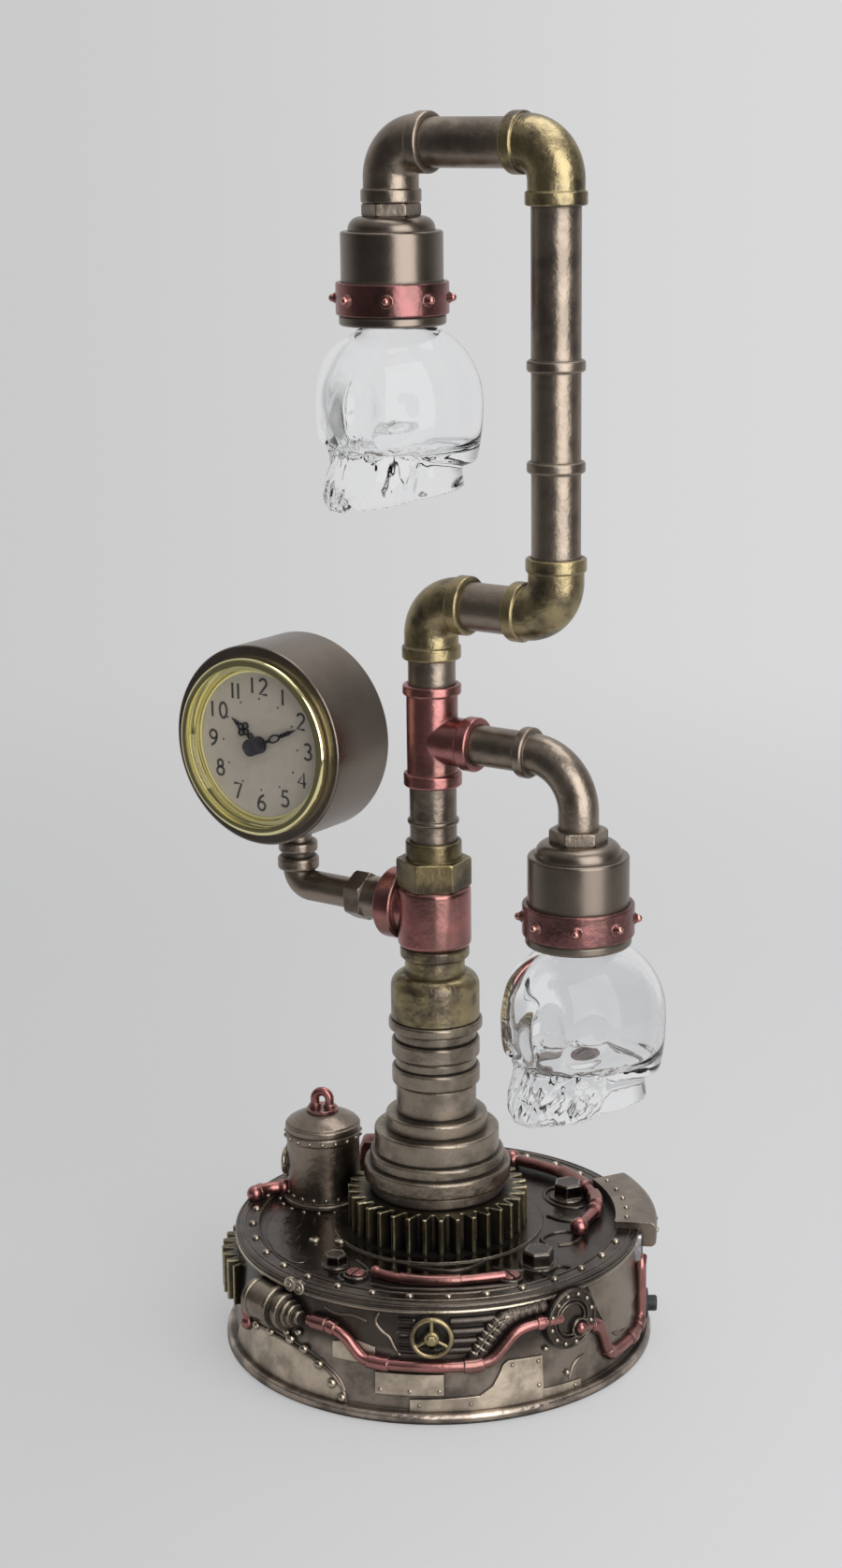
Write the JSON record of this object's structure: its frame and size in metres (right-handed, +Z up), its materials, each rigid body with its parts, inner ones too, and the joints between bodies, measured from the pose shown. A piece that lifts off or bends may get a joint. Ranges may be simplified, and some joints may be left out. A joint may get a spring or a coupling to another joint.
{
  "type": "pipe desk lamp with clock",
  "caption": "Table lamp built from antique pipe fittings on a round gear-work base, with skull-shaped clear glasses under a loop and an arm, and a round clock on its own arm.",
  "frame": {"origin": "centre of the round base where it meets the table", "axes": "+Z up; the pipes lie in the XZ plane with the lower lamp on +X and the clock on -X; the clock and the glasses face -Y"},
  "size_m": [0.1765, 0.1519, 0.4209],
  "materials": {
    "dark_bronze": "antiqued, satin",
    "old_bronze": "antiqued bronze, semi-gloss",
    "old_brass": "antiqued brass, semi-gloss",
    "old_copper": "antiqued copper, semi-gloss",
    "polished_gold": "polished",
    "blued_steel": "satin",
    "plate_steel": "matt",
    "zinc_steel": "satin",
    "clear_glass": "clear, polished",
    "ivory_dial": "matt",
    "white_board": "matt",
    "black_plastic": "satin",
    "black_rubber": "matt",
    "cell_wrap": "gloss",
    "felt": "matt"
  },
  "bodies": {
    "frame": {"base_shell": "dark_bronze", "base_plate": "plate_steel", "base_pad": "felt", "plate_screws": "zinc_steel", "battery_holder": "black_plastic", "battery_cells": "cell_wrap", "battery_door": "plate_steel", "switch_body": "black_plastic", "switch_ring": "black_plastic", "column_rod": "zinc_steel", "rod_nut": "zinc_steel", "big_gear": "old_brass", "column_steps": "old_bronze", "column_bell": "old_brass", "foot_tee": "old_copper", "tee_nut": "old_brass", "post_pipe": "old_bronze", "upper_tee": "old_copper", "post_stub": "old_bronze", "low_left_elbow": "old_brass", "low_pipe": "old_bronze", "low_right_elbow": "old_brass", "riser_pipe": "old_bronze", "top_right_elbow": "old_brass", "top_pipe": "old_bronze", "top_left_elbow": "old_bronze", "upper_nut": "old_bronze", "upper_holder": "old_bronze", "upper_band": "old_copper", "upper_glass": "clear_glass", "arm_pipe": "old_bronze", "arm_bend": "old_bronze", "lower_nut": "old_bronze", "lower_holder": "old_bronze", "lower_band": "old_copper", "lower_glass": "clear_glass", "led_boards": "white_board", "arm_nut": "old_bronze", "clock_arm": "old_bronze", "clock_upright": "old_bronze", "clock_case": "old_bronze", "side_gear": "old_brass", "canister": "old_bronze", "wall_pipes": "old_copper", "wall_disc": "old_bronze", "handwheel": "old_brass", "rim_cover": "old_bronze", "boiler": "old_bronze", "boiler_lid": "old_bronze", "boiler_loop": "old_copper", "deck_fittings": "old_copper"},
    "insert": {"clock_gasket": "black_rubber", "clock_movement": "black_plastic", "clock_bezel": "polished_gold", "clock_lens": "clear_glass", "clock_dial": "ivory_dial"},
    "button": {"switch_button": "black_plastic"},
    "minute": {"minute_hand": "blued_steel"},
    "hour": {"hour_hand": "blued_steel"},
    "knob": {"setting_knob": "black_plastic"}
  },
  "joints": [
    {"name": "button_press", "type": "slide", "parent": "frame", "child": "button", "axis": [-0.848, -0.5299, 0], "range_m": [0, 0.002], "stiffness_N_per_m": 600, "springref_m": -0.0006},
    {"name": "clock_pull", "type": "slide", "parent": "frame", "child": "insert", "axis": [0, -1, 0], "range_m": [0, 0.024]},
    {"name": "minute_spin", "type": "hinge", "parent": "insert", "child": "minute", "pos_m": [-0.0582, -0.02, 0.21], "axis": [0, 1, 0], "continuous": true},
    {"name": "hour_spin", "type": "hinge", "parent": "insert", "child": "hour", "pos_m": [-0.0582, -0.02, 0.21], "axis": [0, 1, 0], "continuous": true},
    {"name": "knob_turn", "type": "hinge", "parent": "insert", "child": "knob", "pos_m": [-0.0582, -0.004, 0.201], "axis": [0, 1, 0], "continuous": true}
  ],
  "couplings": [
    {"joint": "hour_spin", "follows": "minute_spin", "ratio": 0.083333},
    {"joint": "knob_turn", "follows": "minute_spin", "ratio": -1}
  ]
}
